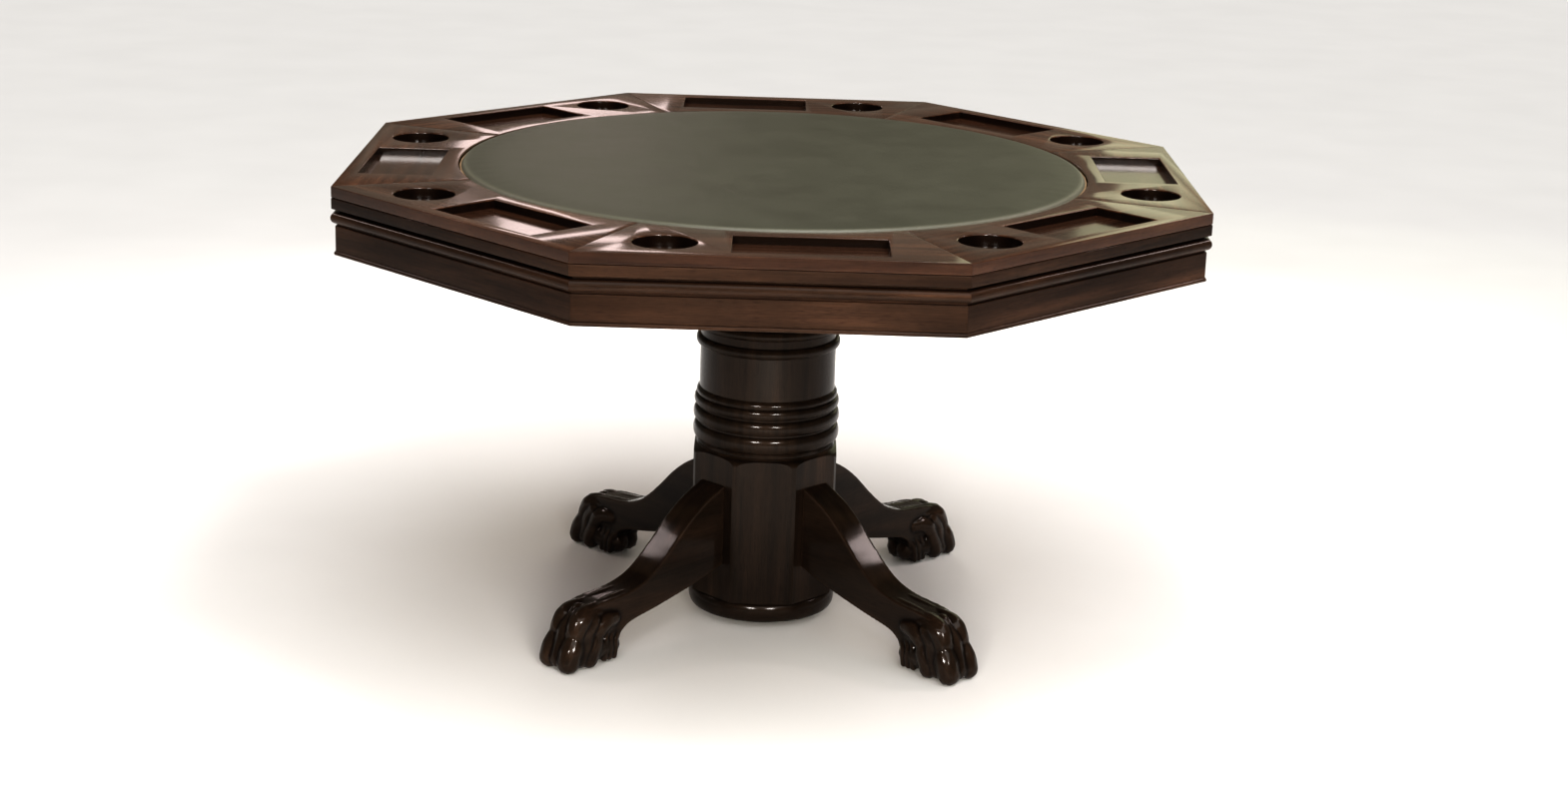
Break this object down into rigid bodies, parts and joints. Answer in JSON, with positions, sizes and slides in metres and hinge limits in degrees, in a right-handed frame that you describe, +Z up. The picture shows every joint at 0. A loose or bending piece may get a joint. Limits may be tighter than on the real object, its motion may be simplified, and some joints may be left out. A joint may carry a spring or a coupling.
{
  "type": "gaming table",
  "caption": "Octagonal pedestal gaming table with a lift-off top that has a round padded field, cup wells and chip trays, on a turned column with carved paw legs.",
  "frame": {"origin": "on the floor under the centre of the column", "axes": "+Z up; -Y towards the front edge, whose board is parallel to X; +X to the right seen from the front"},
  "size_m": [1.349, 1.349, 0.766],
  "materials": {
    "top_wood": "dark cherry stain under a glossy lacquer",
    "dining_veneer": "dark cherry veneer under a glossy lacquer",
    "base_wood": "dark cherry stain under a satin to glossy lacquer",
    "core_board": "bare fibreboard",
    "frame_wood": "unfinished planed wood",
    "playing_vinyl": "dark olive black grained vinyl over thin foam",
    "fastener_steel": "zinc plated",
    "glide_plastic": "moulded nylon"
  },
  "bodies": {
    "base": {"pedestal_post": "base_wood", "pedestal_base": "base_wood", "pedestal_collar": "base_wood", "pedestal_drum": "base_wood", "pedestal_neck": "base_wood", "pedestal_cap": "base_wood", "head_plate": "frame_wood", "bearer_front": "frame_wood", "bearer_back": "frame_wood", "rim_rail_1": "base_wood", "rim_rail_2": "base_wood", "rim_rail_3": "base_wood", "rim_rail_4": "base_wood", "rim_rail_5": "base_wood", "rim_rail_6": "base_wood", "rim_rail_7": "base_wood", "rim_rail_8": "base_wood", "apron_board_1": "base_wood", "apron_board_2": "base_wood", "apron_board_3": "base_wood", "apron_board_4": "base_wood", "apron_board_5": "base_wood", "apron_board_6": "base_wood", "apron_board_7": "base_wood", "apron_board_8": "base_wood", "corner_block_1": "frame_wood", "corner_block_2": "frame_wood", "corner_block_3": "frame_wood", "corner_block_4": "frame_wood", "corner_block_5": "frame_wood", "corner_block_6": "frame_wood", "corner_block_7": "frame_wood", "corner_block_8": "frame_wood", "leg_front_left": "base_wood", "leg_front_right": "base_wood", "leg_back_right": "base_wood", "leg_back_left": "base_wood", "leg_bolt_front_left": "fastener_steel", "leg_bolt_front_right": "fastener_steel", "leg_bolt_back_right": "fastener_steel", "leg_bolt_back_left": "fastener_steel", "foot_glide_front_left": "glide_plastic", "foot_glide_front_right": "glide_plastic", "foot_glide_back_right": "glide_plastic", "foot_glide_back_left": "glide_plastic", "tie_rod": "fastener_steel", "tie_nut_top": "fastener_steel", "tie_nut_bottom": "fastener_steel"},
    "top": {"rim_segment_1": "top_wood", "rim_segment_2": "top_wood", "rim_segment_3": "top_wood", "rim_segment_4": "top_wood", "rim_segment_5": "top_wood", "rim_segment_6": "top_wood", "rim_segment_7": "top_wood", "rim_segment_8": "top_wood", "dining_panel": "dining_veneer", "playing_board": "core_board", "playing_pad": "playing_vinyl"}
  },
  "joints": [
    {"name": "top_lift", "type": "slide", "parent": "base", "child": "top", "axis": [0, 0, 1], "range_m": [0, 0.12]}
  ]
}
